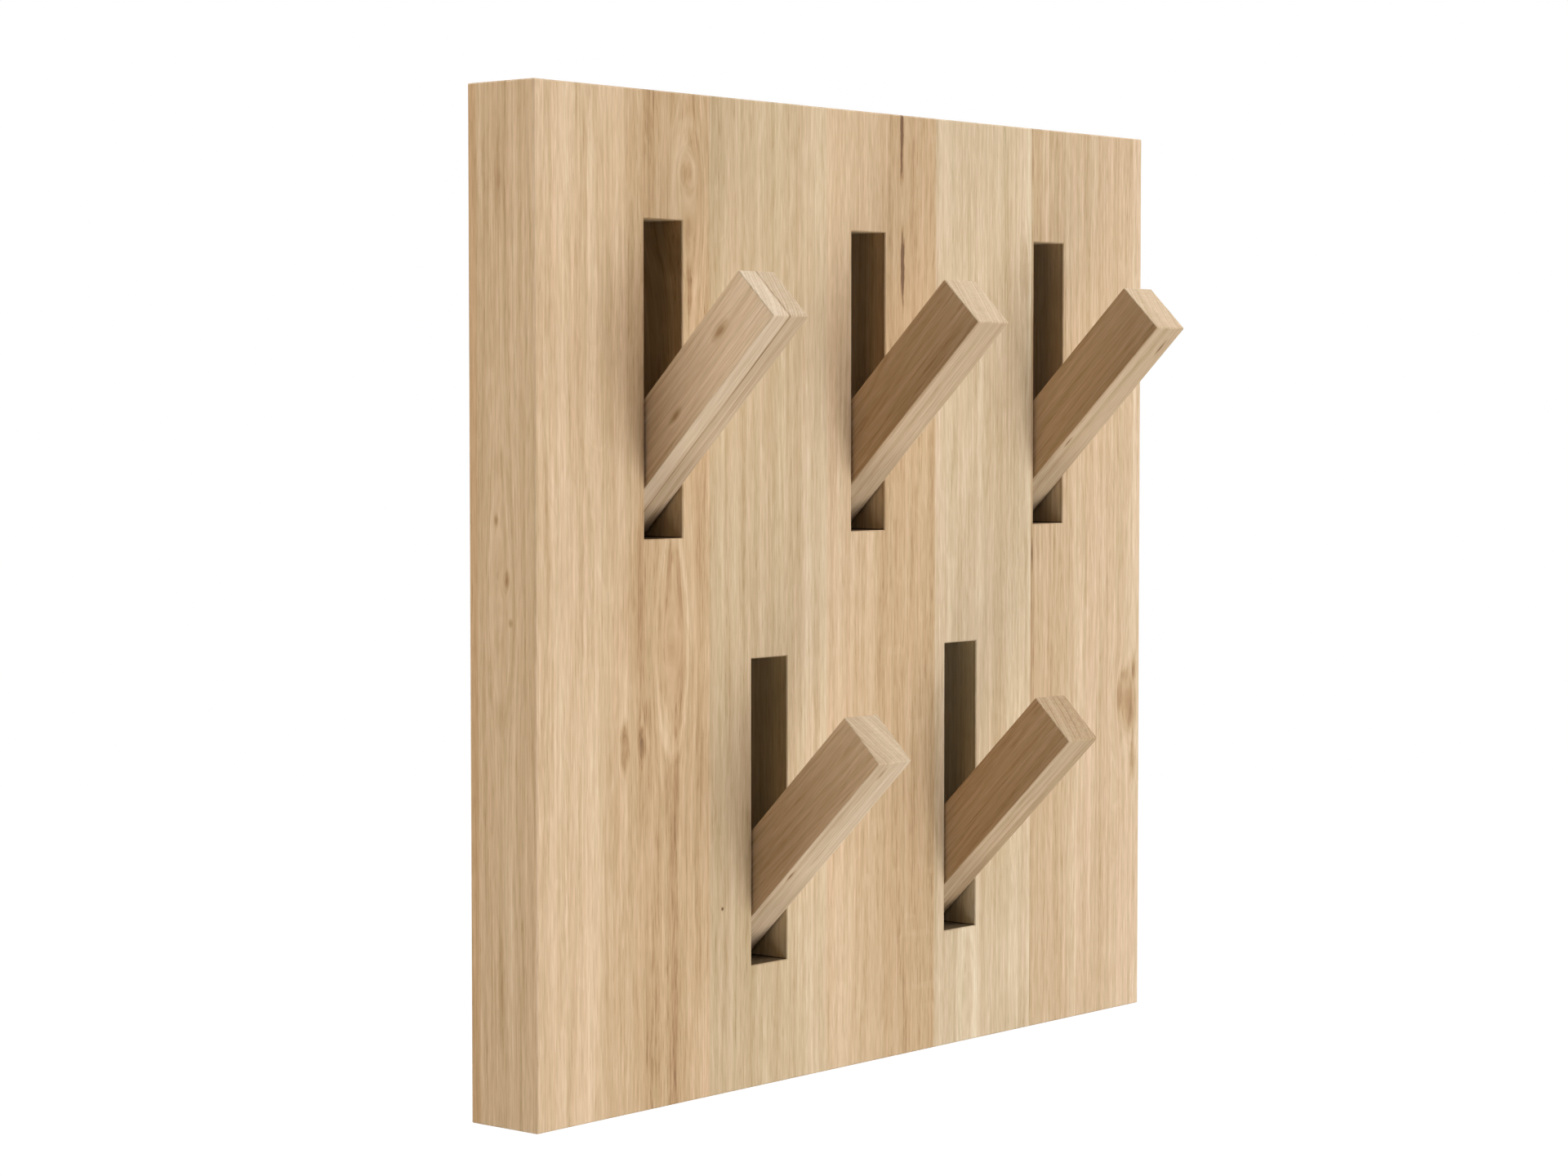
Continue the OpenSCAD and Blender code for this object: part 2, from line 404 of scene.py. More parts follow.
end_centre = (plate_length - plate_width) / 2
plate = add_stadium("keyhole_plate", plate_width, -end_centre, end_centre, plate_thick)
cut_away(plate, add_stadium("slit", slit_width, keyhole_low, keyhole_high, 4 * plate_thick))
hole_middle = (0, plate_middle, keyhole_low)
cut_away(plate, add_rod("head_hole", head_hole / 2, 4 * plate_thick, hole_middle, (TO_WALL, 0, 0)))
sink = turn_on_lathe("sink", [(0.00155, -0.006), (0.00155, -0.0016), (0.00305, -0.0003),
                              (0.00305, 0.001)])
for place in screw_places:
    cut_away(plate, settle(copy_of(sink, "sink_cutter"), (0, -sunk, place), (-TO_WALL, 0, 0)))
bpy.data.objects.remove(sink)
ease_edges(plate, 0.0002)
shade_rounds(plate)
print("one plate:", len(plate.data.polygons), "faces")

# %% Turn one screw, and fit the hangers
screw = turn_on_lathe("screw", [(0.0003, -0.012), (0.0015, -0.009), (0.0015, -0.0016), (0.003, -0.0003),
                                (0.003, 0)])
for turn in (0, TO_WALL):
    slot = add_block("cross", (0.0034, 0.0007, 0.0018), (0, 0, 0))
    cut_away(screw, settle(slot, (0, 0, 0), (0, 0, turn)))
ease_edges(screw, 0.00008)
shade_rounds(screw)

screws, hangers = [], []
for side, place in ((-1, "left"), (1, "right")):
    name = "hanger_plate_" + place
    hanger = settle(copy_of(plate, name + "_pressed"), (side * HANGER_X, 0, HANGER_Z))
    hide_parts(name)
    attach(hanger, "board")
    hangers.append(hanger)
    for height in screw_places:
        at = (side * HANGER_X, -sunk, HANGER_Z + height)
        screws.append(settle(copy_of(screw, "mounting_screws"), at, (-TO_WALL, 0, 0)))
bpy.ops.object.select_all(action="DESELECT")
for one in screws:
    one.select_set(True)
bpy.context.view_layer.objects.active = screws[0]
bpy.ops.object.join()
mounting_screws = screws[0]
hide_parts("hanger_screws")
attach(mounting_screws, "board")
for pattern in (plate, screw):
    bpy.data.objects.remove(pattern)
print("hangers fitted, with", len(screw_places) * 2, "screws")

# %% [markdown]
# ## Grain that flows round a knot
#
# In a tree the grain parts round a branch as water parts round a stone. Painting that would take
# a picture; bending the space in which the grain is drawn takes one small node group. It
# measures how far a point is from the knot, in units of the knot's own size, and gives a shift
# towards the knot's axis that fades away outside it. Straight lines drawn in the shifted space
# swell out round the knot. The group also gives the knot's soft core and a ragged rim. A pale rim
# without a core makes the outline of a flame, and a dark one the bark round a knot. Where only
# the core is used and the shift is left out, it makes a stain.

# %% Make the group that bends the grain
FULL_SHIFT = 0.95
MOST_RAGGED, RAGGED_AT_ONE = 1.2, 4.0


def start_group(name, inputs, outputs):
    """Starts a shader node group; returns its tree, its inputs to read and its outputs to fill."""
    tree = bpy.data.node_groups.new(name, "ShaderNodeTree")
    for way, sockets in (("INPUT", inputs), ("OUTPUT", outputs)):
        for label, kind in sockets.items():
            tree.interface.new_socket(label, in_out=way, socket_type="NodeSocket" + kind)
    reads = tree.nodes.new("NodeGroupInput").outputs
    fills = tree.nodes.new("NodeGroupOutput").inputs
    return tree, reads, fills


def split(tree, vector):
    """The X, Y and Z of a vector."""
    return add_node(tree, "SeparateXYZ", {0: vector}).outputs


def make_knot_flow():
    tree, reads, fills = start_group(
        "knot_flow",
        {"Point": "Vector", "Centre": "Vector", "Half Size": "Vector"},
        {"Shift": "Vector", "Core": "Float", "Rim": "Float"},
    )
    offset = vector_calc(tree, "SUBTRACT", reads["Point"], reads["Centre"])
    in_knots = vector_calc(tree, "DIVIDE", offset, reads["Half Size"])
    squared = add_node(tree, "VectorMath", {0: in_knots, 1: in_knots}, operation="DOT_PRODUCT")
    squared = squared.outputs["Value"]
    fade = calc(tree, "EXPONENT", calc(tree, "MULTIPLY", squared, -1.0))
    fade = calc(tree, "MULTIPLY", fade, -FULL_SHIFT)
    across = add_node(tree, "CombineXYZ", {0: fade, 1: fade, 2: 0.0}).outputs[0]
    tree.links.new(vector_calc(tree, "MULTIPLY", offset, across), fills["Shift"])

    half_width = split(tree, reads["Half Size"])["X"]
    raggedness = calc(tree, "DIVIDE", RAGGED_AT_ONE, calc(tree, "POWER", half_width, 1.5))
    raggedness = calc(tree, "MINIMUM", MOST_RAGGED, raggedness)
    lumps = vector_calc(tree, "MULTIPLY", reads["Point"], (0.7, 0.7, 0.16))
    ragged = add_node(tree, "TexNoise", {"Vector": lumps, "Scale": 1.0, "Detail": 2.5, "Roughness": 0.7})
    ragged = calc(tree, "SUBTRACT", ragged.outputs["Fac"], 0.5)
    distance = calc(tree, "MULTIPLY_ADD", ragged, raggedness, calc(tree, "SQRT", squared))
    tree.links.new(smooth_step(tree, distance, 0.1, 1.2, 1.0, 0.0), fills["Core"])
    beside = calc(tree, "ABSOLUTE", calc(tree, "SUBTRACT", distance, 1.0))
    beside = calc(tree, "MULTIPLY", beside, half_width)
    tree.links.new(smooth_step(tree, beside, 0.0, 1.1, 1.0, 0.0), fills["Rim"])
    return tree


knot_flow = make_knot_flow()
print("group:", knot_flow.name)

# %% [markdown]
# ## Oak, all the way through
#
# A picture of planks could be laid on each face, but the faces would not meet at the edges, and
# real wood does. Here the pattern is solid, like the wood: it is worked out for every point in
# space, with the grain along Z and all lengths in millimetres.
#
# - Rings are the distance from the log's heart. The log tapers, so a stave cut far from the heart
#   shows straight lines, and one cut beside it shows arches.
# - Streaks are one noise with many octaves, each as strong as the last and some fifty times
#   longer than it is wide. Lines are longer still and run the whole height.
# - Fibres and pores are the finest marks, and rays are thin sheets that run out from the heart.

# %% Make the oak grain group
LOG_TAPER = 0.02


def stretched_noise(tree, point, lump, seed, detail=1.0, roughness=0.5):
    """Noise whose lumps have that size in millimetres along each axis."""
    scaled = vector_calc(tree, "DIVIDE", point, lump)
    return add_node(tree, "TexNoise", {"Vector": scaled, "W": seed, "Scale": 1.0, "Detail": detail,
                                       "Roughness": roughness}, noise_dimensions="4D").outputs


def shifted(tree, point, noise, amount):
    """The point, moved sideways by a noise's colour by up to about half the amount."""
    centred = vector_calc(tree, "SUBTRACT", noise["Color"], (0.5, 0.5, 0.5))
    return vector_calc(tree, "ADD", point, vector_calc(tree, "MULTIPLY", centred, (amount, amount, 0)))


def evened(tree, value, low, high):
    """Spreads the middle part of a noise to -1..1."""
    return spread(tree, value, low, high, -1.0, 1.0, clamp=False)


def make_oak_grain():
    tree, reads, fills = start_group(
        "oak_grain",
        {"Point": "Vector", "Heart": "Vector", "Ring Width": "Float", "Seed": "Float"},
        {"Point": "Vector", "Rings": "Float", "Streaks": "Float", "Lines": "Float", "Fibres": "Float",
         "Pores": "Float", "Rays": "Float", "Hue": "Float"},
    )
    seed = reads["Seed"]
    waver = stretched_noise(tree, reads["Point"], (14, 14, 90), seed, 1.5)
    wavered = shifted(tree, reads["Point"], waver, 1.6)
    drift = stretched_noise(tree, reads["Point"], (50, 50, 170), seed)
    drifted = shifted(tree, wavered, drift, 16)
    tree.links.new(wavered, fills["Point"])

    from_heart = vector_calc(tree, "SUBTRACT", drifted, reads["Heart"])
    from_heart = vector_calc(tree, "MULTIPLY", from_heart, (1, 1, 0))
    radius = length_of(tree, from_heart)
    up = split(tree, reads["Point"])["Z"]
    tapered = calc(tree, "MULTIPLY_ADD", up, LOG_TAPER, radius)
    years = calc(tree, "DIVIDE", tapered, reads["Ring Width"])
    uneven = add_node(tree, "TexNoise", {"W": years, "Scale": 0.7, "Detail": 0.0}, noise_dimensions="1D")
    years = calc(tree, "MULTIPLY_ADD", uneven.outputs["Fac"], 1.6, years)
    rings = calc(tree, "SINE", calc(tree, "MULTIPLY", years, 2 * math.pi))
    tree.links.new(rings, fills["Rings"])

    streaks = stretched_noise(tree, wavered, (5, 2, 240), seed, 4.0, 0.95)
    tree.links.new(evened(tree, streaks["Fac"], 0.4, 0.6), fills["Streaks"])
    hue = add_node(tree, "SeparateColor", {0: streaks["Color"]}).outputs[1]
    tree.links.new(evened(tree, hue, 0.4, 0.6), fills["Hue"])
    lines = stretched_noise(tree, wavered, (3, 1.5, 420), calc(tree, "ADD", seed, 30.0), 2.5, 0.85)
    tree.links.new(evened(tree, lines["Fac"], 0.35, 0.65), fills["Lines"])
    fibres = stretched_noise(tree, wavered, (0.6, 0.5, 8), seed, 1.5, 0.7)
    tree.links.new(evened(tree, fibres["Fac"], 0.3, 0.7), fills["Fibres"])

    spring = spread(tree, rings, -0.6, 0.4, 0.58, 0.66)
    vessels = stretched_noise(tree, wavered, (0.26, 0.26, 6), seed)["Fac"]
    pores = smooth_step(tree, calc(tree, "SUBTRACT", vessels, spring), 0.0, 0.05)
    tree.links.new(pores, fills["Pores"])

    apart = split(tree, from_heart)
    bearing = calc(tree, "MULTIPLY", calc(tree, "ARCTAN2", apart["X"], apart["Y"]), radius)
    steps = zip((radius, bearing, up), (14, 0.5, 7))
    sheet = {axis: calc(tree, "DIVIDE", way, step) for axis, (way, step) in enumerate(steps)}
    sheet = add_node(tree, "CombineXYZ", sheet).outputs[0]
    rays = add_node(tree, "TexNoise", {"Vector": sheet, "W": seed, "Scale": 1.0, "Detail": 0.0},
                    noise_dimensions="4D").outputs["Fac"]
    tree.links.new(smooth_step(tree, rays, 0.64, 0.72), fills["Rays"])
    return tree


oak_grain = make_oak_grain()
print("group:", oak_grain.name)

# %% [markdown]
# ## One scale of colour for all the oak
#
# Pale sapwood, honey heartwood and the brown of a knot are one family: as oak darkens it also
# gets warmer. So all pieces share one colour scale, and each point only needs a tone from 0 to 1.

# %% Make the oak colour group
def linear(red, green, blue):
    """A colour read off a screen, from 0 to 255, as the linear values that shaders use."""
    parts = [value / 255 for value in (red, green, blue)]
    return tuple(p / 12.92 if p <= 0.04045 else ((p + 0.055) / 1.055) ** 2.4 for p in parts) + (1.0,)


OAK_SCALE = {
    0.00: linear(126, 98, 74),
    0.20: linear(177, 144, 107),
    0.40: linear(197, 168, 131),
    0.55: linear(208, 180, 145),
    0.75: linear(223, 196, 163),
    1.00: linear(239, 217, 188),
}


def fill_ramp(ramp, stops):
    """Gives a colour ramp its stops, from places between 0 and 1 to colours or grey values."""
    while len(ramp.elements) > 1:
        ramp.elements.remove(ramp.elements[-1])
    for index, (place, colour) in enumerate(sorted(stops.items())):
        stop = ramp.elements[0] if index == 0 else ramp.elements.new(place)
        stop.position = place
        stop.color = colour if isinstance(colour, tuple) else (colour, colour, colour, 1)


def make_oak_colour():
    tree, reads, fills = start_group("oak_colour", {"Tone": "Float"}, {"Colour": "Color"})
    ramp = add_node(tree, "ValToRGB", {"Fac": reads["Tone"]})
    fill_ramp(ramp.color_ramp, OAK_SCALE)
    tree.links.new(ramp.outputs["Color"], fills["Colour"])
    return tree


oak_colour = make_oak_colour()
print("group:", oak_colour.name)

# %% [markdown]
# ## From pattern to finished oak
#
# The next function puts the groups together for one piece. A Mapping node first turns the piece's
# own space so that its grain runs along Z, in millimetres. Knots bend that space, the grain group
# draws in it, and everything is added up as one tone. The finish is oil, not varnish: it stays
# matt, and only the pores and fibres catch the light, as a very shallow bump.

# %% Write the oak material
MM = 0.001

# just inside the board's outer faces, in millimetres from its middle
BOARD_EDGE = 143.9

# how much each mark changes the tone, and what end grain keeps of it and adds to the rings
LINE_TONE, FIBRE_TONE, PORE_TONE, RAY_TONE = 0.055, 0.11, -0.12, 0.04
LOST_AT_END, RINGS_AT_END = 0.7, 0.05

# the pinker and the greener cast that oak wanders between
CASTS = ((1.007, 0.984, 0.985), (0.993, 1.016, 1.004))


def oak_material(name, bands, span, seed, heart, ring_width, knots=(), stains=(), turn=0.0,
                 origin=(0, 0, 0), ends=BOARD_EDGE, fine=1.0, figure=0.035, lively=0.13,
                 tint=(1, 1, 1), shade=None):
    """Oak for one piece. bands: tone at places across the span; knots: (centre, half size, core, rim);
    stains: (centre, half size, core); fine: how many times narrower than usual the grain is."""
    material = bpy.data.materials.new(name)
    material.use_nodes = True
    tree = material.node_tree
    shader = tree.nodes["Principled BSDF"]
    place = add_node(tree, "TexCoord").outputs["Object"]
    at = add_node(tree, "Mapping", {"Vector": place, "Location": origin, "Rotation": (turn, 0, 0),
                                    "Scale": (MM, MM, MM)}, vector_type="TEXTURE").outputs[0]
    point, marks = at, 0.0
    for centre, half_size, core, *rim in list(knots) + list(stains):
        knot = add_node(tree, "Group", {"Point": at, "Centre": centre, "Half Size": half_size},
                        node_tree=knot_flow)
        if rim:
            point = vector_calc(tree, "ADD", point, knot.outputs["Shift"])
        for part, change in zip(("Core", "Rim"), [core] + rim):
            if change:
                marks = calc(tree, "MULTIPLY_ADD", knot.outputs[part], change, marks)
    narrowed = vector_calc(tree, "MULTIPLY", point, (fine, fine, 1))
    sawn = {"Point": narrowed, "Heart": [fine * part for part in heart],
            "Ring Width": fine * ring_width, "Seed": seed}
    grain = add_node(tree, "Group", sawn, node_tree=oak_grain).outputs

    across = spread(tree, split(tree, grain["Point"])["X"], fine * span[0], fine * span[1])
    ramp = add_node(tree, "ValToRGB", {"Fac": across})
    fill_ramp(ramp.color_ramp, bands)
    up = split(tree, at)["Z"]
    at_end = calc(tree, "GREATER_THAN", calc(tree, "ABSOLUTE", up), ends)
    along = calc(tree, "SUBTRACT", 1.0, calc(tree, "MULTIPLY", at_end, LOST_AT_END))
    ring_contrast = calc(tree, "MULTIPLY_ADD", at_end, RINGS_AT_END, figure)
    tone = calc(tree, "MULTIPLY_ADD", grain["Rings"], ring_contrast, ramp.outputs["Color"])
    tone = calc(tree, "MULTIPLY_ADD", grain["Streaks"], calc(tree, "MULTIPLY", along, lively), tone)
    tone = calc(tree, "MULTIPLY_ADD", grain["Lines"], LINE_TONE, tone)
    tone = calc(tree, "MULTIPLY_ADD", grain["Fibres"], calc(tree, "MULTIPLY", along, FIBRE_TONE), tone)
    tone = calc(tree, "MULTIPLY_ADD", grain["Pores"], PORE_TONE, tone)
    tone = calc(tree, "MULTIPLY_ADD", grain["Rays"], RAY_TONE, tone)
    tone = calc(tree, "ADD", tone, marks)
    colour = add_node(tree, "Group", {"Tone": tone}, node_tree=oak_colour).outputs["Colour"]
    hue = calc(tree, "ADD", calc(tree, "MULTIPLY_ADD", grain["Hue"], 0.5, 0.5), marks)
    pinker, greener = (tuple(t * c for t, c in zip(tint, cast)) + (1,) for cast in CASTS)
    cast = add_node(tree, "Mix", {0: hue, 6: pinker, 7: greener}, data_type="RGBA").outputs[2]
    colour = add_node(tree, "Mix", {0: 1.0, 6: colour, 7: cast}, data_type="RGBA",
                      blend_type="MULTIPLY").outputs[2]
    if shade:
        colour = shade(tree, at, colour)
    tree.links.new(colour, shader.inputs["Base Color"])

    rough = calc(tree, "MULTIPLY_ADD", grain["Pores"], 0.2, 0.6)
    tree.links.new(calc(tree, "MULTIPLY_ADD", grain["Streaks"], -0.05, rough), shader.inputs["Roughness"])
    relief = calc(tree, "MULTIPLY_ADD", grain["Pores"], -1.0, calc(tree, "MULTIPLY", grain["Fibres"], 0.25))
    bump = add_node(tree, "Bump", {"Strength": 0.35, "Distance": 0.0001, "Height": relief})
    tree.links.new(bump.outputs["Normal"], shader.inputs["Normal"])
    shader.inputs["Specular IOR Level"].default_value = 0.08
    return material


def dress(node_name, material):
    """Gives a CAD node's object its finish."""
    frame["nodes"][node_name].material_slots[0].material = material


# %% [markdown]
# ## Five staves, five boards
#
# Each stave was sawn from another board, and its colour drifts from one side to the other. The
# bands say how pale it is at places across its width, the heart says how it was sawn, and the
# knots and flames lie where they catch the eye. The walls of the slots carry painted shade: they
# are darker deep down and darkest on their floors, and painted light makes them paler at the mouth.

# %% Finish the staves
BOARD_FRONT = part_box("stave_1")[0][1] / MM
INNER_EDGE = 142.5
PIVOT_OVER_FLOOR = 18.5
# painted shade deep in the slots and on their floors, and painted light near their mouths
PAINTED_SHADE_DEEP_IN_SLOT, PAINTED_LIGHT_AT_SLOT_MOUTH, PAINTED_SHADE_ON_SLOT_FLOOR = (0.62, 0.67, 0.71), (1.9, 1.9, 1.85), (0.21, 0.19, 0.17)
OUTER_EDGE, HEARTWOOD_STRIP = (1.01, 0.97, 0.91), (0.89, 0.82, 0.73)


def coloured_where(tree, mask, colour, tint):
    """Multiplies a colour by a tint where the mask is 1."""
    return add_node(tree, "Mix", {0: mask, 6: colour, 7: tint + (1,)}, data_type="RGBA",
                    blend_type="MULTIPLY").outputs[2]


def near(tree, value, place, reach):
    """1 where the value lies within that reach of a place."""
    return calc(tree, "COMPARE", value, place, reach)


def painted_slot_shade_and_edge_tint(tree, at, colour):
    """Paints shade into the slots, deep down and on their floors, and light near their mouths, and warms the
    board's outer edge.
    """
    apart = split(tree, at)
    inside = calc(tree, "GREATER_THAN", apart["Y"], BOARD_FRONT + 0.4)
    inside = calc(tree, "MULTIPLY", inside, calc(tree, "LESS_THAN", apart["Y"], -0.1))
    for axis in "XZ":
        off_middle = calc(tree, "ABSOLUTE", apart[axis])
        inside = calc(tree, "MULTIPLY", inside, calc(tree, "LESS_THAN", off_middle, INNER_EDGE))
    # painted light near each slot's mouth, painted shade deeper in and on the slot's floor
    mouth = smooth_step(tree, apart["Y"], BOARD_FRONT + 1, BOARD_FRONT + 9, 1.0, 0.0)
    colour = coloured_where(tree, inside, colour, PAINTED_SHADE_DEEP_IN_SLOT)
    colour = coloured_where(tree, calc(tree, "MULTIPLY", inside, mouth), colour, PAINTED_LIGHT_AT_SLOT_MOUTH)
    pivot_heights = [joint["pos_m"][2] / MM for joint in joints.values()]
    for floor_height in sorted({round(height - PIVOT_OVER_FLOOR, 1) for height in pivot_heights}):
        on_floor = calc(tree, "MULTIPLY", inside, near(tree, apart["Z"], floor_height, 0.3))
        colour = coloured_where(tree, on_floor, colour, PAINTED_SHADE_ON_SLOT_FLOOR)
    edge = calc(tree, "GREATER_THAN", calc(tree, "ABSOLUTE", apart["X"]), BOARD_EDGE)
    colour = coloured_where(tree, edge, colour, OUTER_EDGE)
    strip = smooth_step(tree, apart["Y"], -4.0, -2.8)
    return coloured_where(tree, calc(tree, "MULTIPLY", edge, strip), colour, HEARTWOOD_STRIP)


STAVES = {
    "stave_1": dict(
        span=(-144, -72.5), seed=1.3, heart=(-86, 70, 0), ring_width=3.2, lively=0.12,
        tint=(1.045, 1.020, 0.995),
        bands={0.0: 0.64, 0.05: 0.58, 0.17: 0.72, 0.31: 0.63, 0.48: 0.54, 0.66: 0.40, 0.83: 0.46, 1.0: 0.55},
        knots=[((-108.5, -25, -40), (2.0, 9, 8), -0.46, 0.0), ((-101.5, -25, -40), (2.0, 9, 7), -0.26, 0.0),
               ((-88.5, -25, -12), (6.8, 20, 31), -0.08, 0.17), ((-82.5, -25, 122), (3.4, 9, 6), -0.18, 0.0),
               ((-81, -25, 112), (7, 20, 24), -0.04, 0.10), ((-144, -12, 4), (5, 5.5, 36), 0.0, -0.10),
               ((-144, -14.5, 7.4), (1.2, 1.4, 3.2), -0.5, 0.0)],
        stains=[((-99.5, -25, -31), (1.4, 9, 5), -0.20), ((-101, -25, -55), (0.9, 9, 9), -0.22),
                ((-102.8, -25, 0), (3.0, 9, 32), -0.17), ((-108, -25, 2), (4.0, 9, 26), -0.14),
                ((-90.3, -25, -35), (3.4, 12, 10), 0.22),
                ((-81.2, -25, 89), (2.0, 8, 9), -0.36), ((-81.6, -25, 105), (1.5, 8, 7), -0.15),
                ((-77, -25, -130), (6, 20, 24), 0.12),
                ((-144, -16, -4), (1.2, 0.9, 1.6), -0.45), ((-144, -10.6, 24), (1.2, 1.0, 2.2), -0.45),
                ((-144, -11.5, 118), (1.5, 1.6, 18), -0.26), ((-144, -12, -106), (1.5, 1.6, 18), -0.26)]),
    "stave_2": dict(
        span=(-72.5, -19.8), seed=2.7, heart=(-150, 120, 0), ring_width=2.6, lively=0.09,
        tint=(0.965, 0.988, 0.980),
        bands={0.0: 0.54, 0.3: 0.56, 0.62: 0.60, 0.85: 0.68, 1.0: 0.66},
        stains=[((-67, -25.5, -90), (0.6, 1, 0.6), -1.1)]),
    "stave_3": dict(
        span=(-19.8, 32.9), seed=4.1, heart=(90, 150, 0), ring_width=2.8, lively=0.09,
        tint=(1.024, 1.011, 1.008),
        bands={0.0: 0.68, 0.28: 0.58, 0.6: 0.44, 0.98: 0.38, 1.0: 0.46},
        stains=[((16, -25, 136), (1.0, 6, 17), -0.68), ((16.5, -25, 98), (1.1, 6, 14), -0.85)]),
    "stave_4": dict(
        span=(32.9, 82.7), seed=5.9, heart=(62, 60, 0), ring_width=3.4, lively=0.11,
        tint=(0.957, 1.004, 1.030),
        bands={0.0: 0.71, 0.2: 0.68, 0.45: 0.63, 0.8: 0.61, 0.96: 0.65, 1.0: 0.68},
        knots=[((79, -25, 98), (3, 8, 14), -0.16, 0.08), ((49, -25, -130), (5, 12, 24), -0.02, 0.08)],
        stains=[((80.5, -25, 8), (1.5, 8, 16), -0.18)]),
    "stave_5": dict(
        span=(82.7, 144), seed=7.2, heart=(200, 90, 0), ring_width=2.6, lively=0.115,
        tint=(0.995, 1.000, 1.022),
        bands={0.0: 0.36, 0.02: 0.43, 0.12: 0.48, 0.3: 0.54, 0.45: 0.61, 0.62: 0.55, 0.85: 0.62, 1.0: 0.70},
        knots=[((137.2, -25, -42), (6.6, 14, 13), -0.44, 0.0)],
        stains=[((132.6, -25, -40), (2.2, 9, 8), -0.22), ((135.8, -25, -33.5), (3.4, 9, 3.4), -0.24),
                ((140.8, -25, -31), (1.5, 9, 6), -0.50), ((139.5, -25, -48), (2.4, 9, 5), -0.16),
                ((140, -25, -62), (1.7, 9, 10), -0.42), ((83.4, -25, 8), (0.7, 4, 6), -0.25)]),
}

for stave_name, oak in STAVES.items():
    dress(stave_name, oak_material("oak_" + stave_name, shade=painted_slot_shade_and_edge_tint, **oak))
print("staves finished:", len(STAVES))

# %% [markdown]
# ## Hook bars
#
# The bars are sawn the other way, with the rings standing across their width, so that their ends
# show fine parallel lines. They were drawn open, leaning out by 45 degrees, so each pattern is
# turned by that much about the hook's pivot and rides along when the hook folds.

# %% Finish the hooks
HOOKS = {
    "hook_1": dict(
        seed=11.3, heart=(-150, 48, 0),
        bands={0.0: 0.75, 0.40: 0.76, 0.45: 0.64, 0.465: 0.20, 0.485: 0.24, 0.50: 0.52, 0.53: 0.56,
               1.0: 0.55},
        knots=[((-7.5, 2, 54), (3, 1.7, 3.8), -0.50, -0.1),
               ((-7.5, -2.8, 26), (2.5, 1.2, 3), -0.50, -0.1)]),
    "hook_2": dict(
        seed=12.7, heart=(-121, 36, 0),
        bands={0.0: 0.46, 0.1: 0.56, 0.4: 0.54, 0.7: 0.60, 1.0: 0.56}),
    "hook_3": dict(
        seed=13.1, heart=(-183, 59, 0),
        bands={0.0: 0.52, 0.1: 0.54, 0.35: 0.50, 0.5: 0.60, 1.0: 0.56},
        stains=[((-5, -9, 20), (0.8, 1, 3), -0.5), ((3, -9, 62), (0.7, 1, 3.5), -0.5)]),
    "hook_4": dict(
        seed=14.8, heart=(-143, -45, 0),
        bands={0.0: 0.56, 0.1: 0.64, 0.3: 0.60, 0.6: 0.72, 1.0: 0.68},
        stains=[((-5, -9, 21), (0.8, 1, 3), -0.5), ((-2, -9, 66), (0.7, 1, 3.5), -0.5),
                ((1, -9, 30), (0.6, 1, 7), -0.3)]),
    "hook_5": dict(
        seed=15.6, heart=(-202, 62, 0),
        bands={0.0: 0.47, 0.1: 0.44, 0.5: 0.43, 1.0: 0.38},
        stains=[((0, 0, 71), (30, 30, 1), -0.09)]),
}
HALF_WIDTH = bar_width / 2 / MM
BAR_END = 70.4
# painted warm shade for the cheeks, and painted shade for the underside near the root
CHEEK_PAINTED_SHADE, ROOT_PAINTED_SHADE = (1.015, 0.965, 0.90), (0.80, 0.78, 0.76)


def painted_cheek_and_root_shade(tree, at, colour):
    """Paints warm shade on the bar's two cheeks, and darker shade on its underside near the root."""
    apart = split(tree, at)
    # painted warm shade on both cheeks
    cheek = calc(tree, "GREATER_THAN", calc(tree, "ABSOLUTE", apart["X"]), HALF_WIDTH - 0.1)
    colour = coloured_where(tree, cheek, colour, CHEEK_PAINTED_SHADE)
    # painted shade on the underside, deepest where the bar goes into its slot
    root_shade = smooth_step(tree, apart["Z"], 6.0, 26.0, 1.0, 0.0)
    root_shade = calc(tree, "MULTIPLY", root_shade, calc(tree, "LESS_THAN", apart["Y"], -8.7))
    return coloured_where(tree, root_shade, colour, ROOT_PAINTED_SHADE)


for hook_name, oak in HOOKS.items():
    finish = oak_material("oak_" + hook_name, span=(-HALF_WIDTH, HALF_WIDTH), turn=OPEN,
                          origin=tuple(joints[hook_name]["pos_m"]), ring_width=1.1, figure=0.05,
                          lively=0.085, ends=BAR_END, fine=1.6, tint=(0.985, 1.010, 1.060),
                          shade=painted_cheek_and_root_shade, **oak)
    hook_bars[hook_name].data.materials.append(finish)
print("hooks finished:", len(HOOKS))

# %% [markdown]
# ## Steel and fibre
#
# Little of the metal shows, but it turns into view when the rack is lifted off the wall. The pins
# are drawn rod, with faint lines along them. The pressed plates carry zinc, whose crystals are
# cells that each shine a little differently. The screws were turned, which leaves rings round
# their axis. The washers are pressed from brown fibre board.

# %% Finish the metal and the washers
def plain_material(name, metallic):
    """Starts a material; returns it with its tree, its shader and the place in millimetres."""
    material = bpy.data.materials.new(name)
    material.use_nodes = True
    tree = material.node_tree
    shader = tree.nodes["Principled BSDF"]
    shader.inputs["Metallic"].default_value = metallic
    place = vector_calc(tree, "DIVIDE", add_node(tree, "TexCoord").outputs["Object"], (MM, MM, MM))
    return material, tree, shader, place


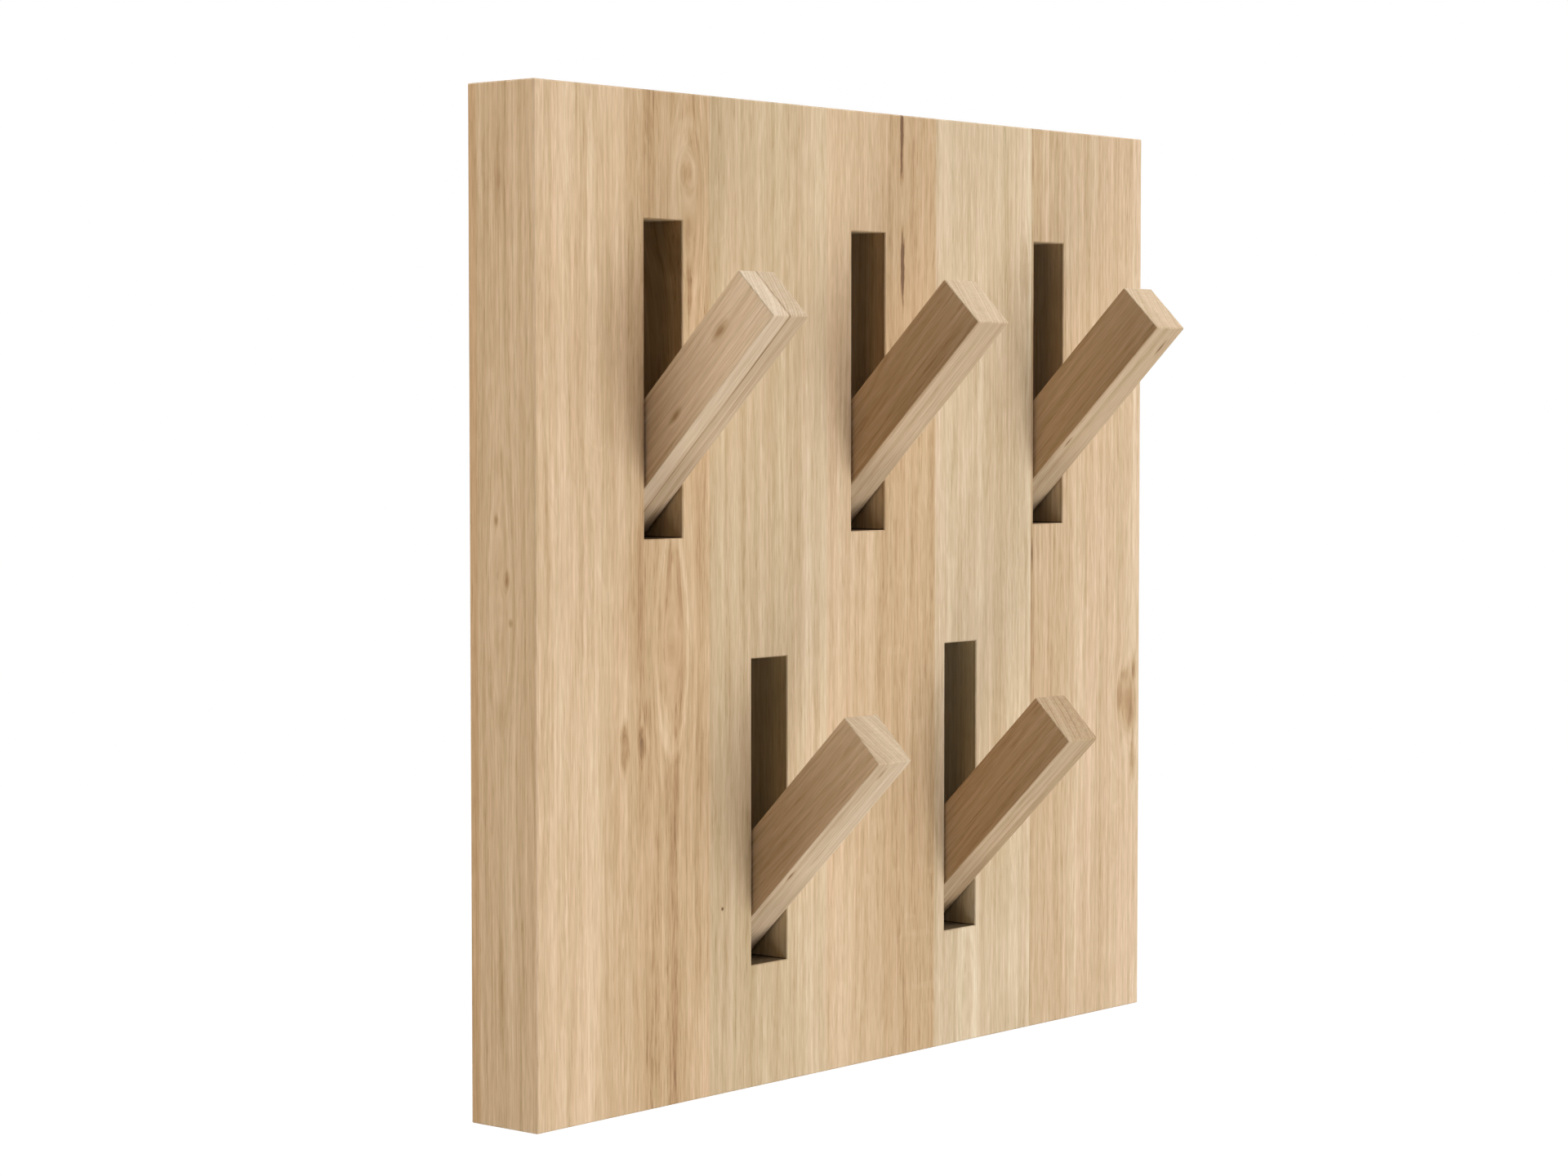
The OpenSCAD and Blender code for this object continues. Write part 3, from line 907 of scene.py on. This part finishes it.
def finish_surface(tree, shader, pattern, colours, roughness, relief):
    """Lets one pattern from 0 to 1 drive colour, roughness and a shallow bump."""
    tint = add_node(tree, "Mix", {0: pattern, 6: colours[0], 7: colours[1]}, data_type="RGBA")
    tree.links.new(tint.outputs[2], shader.inputs["Base Color"])
    rough = spread(tree, pattern, 0.0, 1.0, roughness[0], roughness[1])
    tree.links.new(rough, shader.inputs["Roughness"])
    bump = add_node(tree, "Bump", {"Strength": 0.4, "Distance": relief, "Height": pattern})
    tree.links.new(bump.outputs["Normal"], shader.inputs["Normal"])


pin_steel, tree, shader, place = plain_material("pin_steel", 1.0)
along_rod = vector_calc(tree, "DIVIDE", place, (14, 0.15, 0.15))
drawn = add_node(tree, "TexNoise", {"Vector": along_rod, "Scale": 1.0, "Detail": 2.0}).outputs["Fac"]
finish_surface(tree, shader, drawn, ((0.46, 0.46, 0.47, 1), (0.64, 0.65, 0.67, 1)), (0.42, 0.24), 0.00001)

hanger_zinc, tree, shader, place = plain_material("hanger_zinc", 1.0)
crystals = add_node(tree, "TexVoronoi", {"Vector": place, "Scale": 0.45, "Randomness": 1.0}).outputs["Color"]
crystal = add_node(tree, "SeparateColor", {0: crystals}).outputs[0]
specks = add_node(tree, "TexNoise", {"Vector": place, "Scale": 3.0, "Detail": 2.0}).outputs["Fac"]
zinc = calc(tree, "MULTIPLY_ADD", crystal, 0.5, calc(tree, "MULTIPLY", specks, 0.5))
finish_surface(tree, shader, zinc, ((0.33, 0.35, 0.38, 1), (0.50, 0.51, 0.51, 1)), (0.55, 0.36), 0.00002)

screw_steel, tree, shader, place = plain_material("screw_steel", 1.0)
parts = split(tree, place)
from_side = calc(tree, "SUBTRACT", calc(tree, "ABSOLUTE", parts["X"]), HANGER_X / MM)
from_middle = calc(tree, "ABSOLUTE", calc(tree, "SUBTRACT", parts["Z"], HANGER_Z / MM))
from_middle = calc(tree, "SUBTRACT", from_middle, screw_places[1] / MM)
from_axis = add_node(tree, "CombineXYZ", {0: from_side, 1: from_middle, 2: 0.0}).outputs[0]
turned = add_node(tree, "TexNoise", {"W": length_of(tree, from_axis), "Scale": 9.0, "Detail": 2.0},
                  noise_dimensions="1D").outputs["Fac"]
finish_surface(tree, shader, turned, ((0.26, 0.27, 0.29, 1), (0.42, 0.43, 0.44, 1)), (0.45, 0.28), 0.00001)

washer_fibre, tree, shader, place = plain_material("washer_fibre", 0.0)
mottle = add_node(tree, "TexNoise", {"Vector": place, "Scale": 1.6, "Detail": 5.0,
                                     "Roughness": 0.7}).outputs["Fac"]
finish_surface(tree, shader, mottle, ((0.09, 0.035, 0.02, 1), (0.21, 0.10, 0.05, 1)), (0.65, 0.45), 0.00003)

for number in range(1, 6):
    dress(f"pivot_pin_{number}", pin_steel)
    dress(f"side_washers_{number}", washer_fibre)
for hanger in hangers:
    hanger.data.materials.append(hanger_zinc)
mounting_screws.data.materials.append(screw_steel)
print("metal and washers finished")
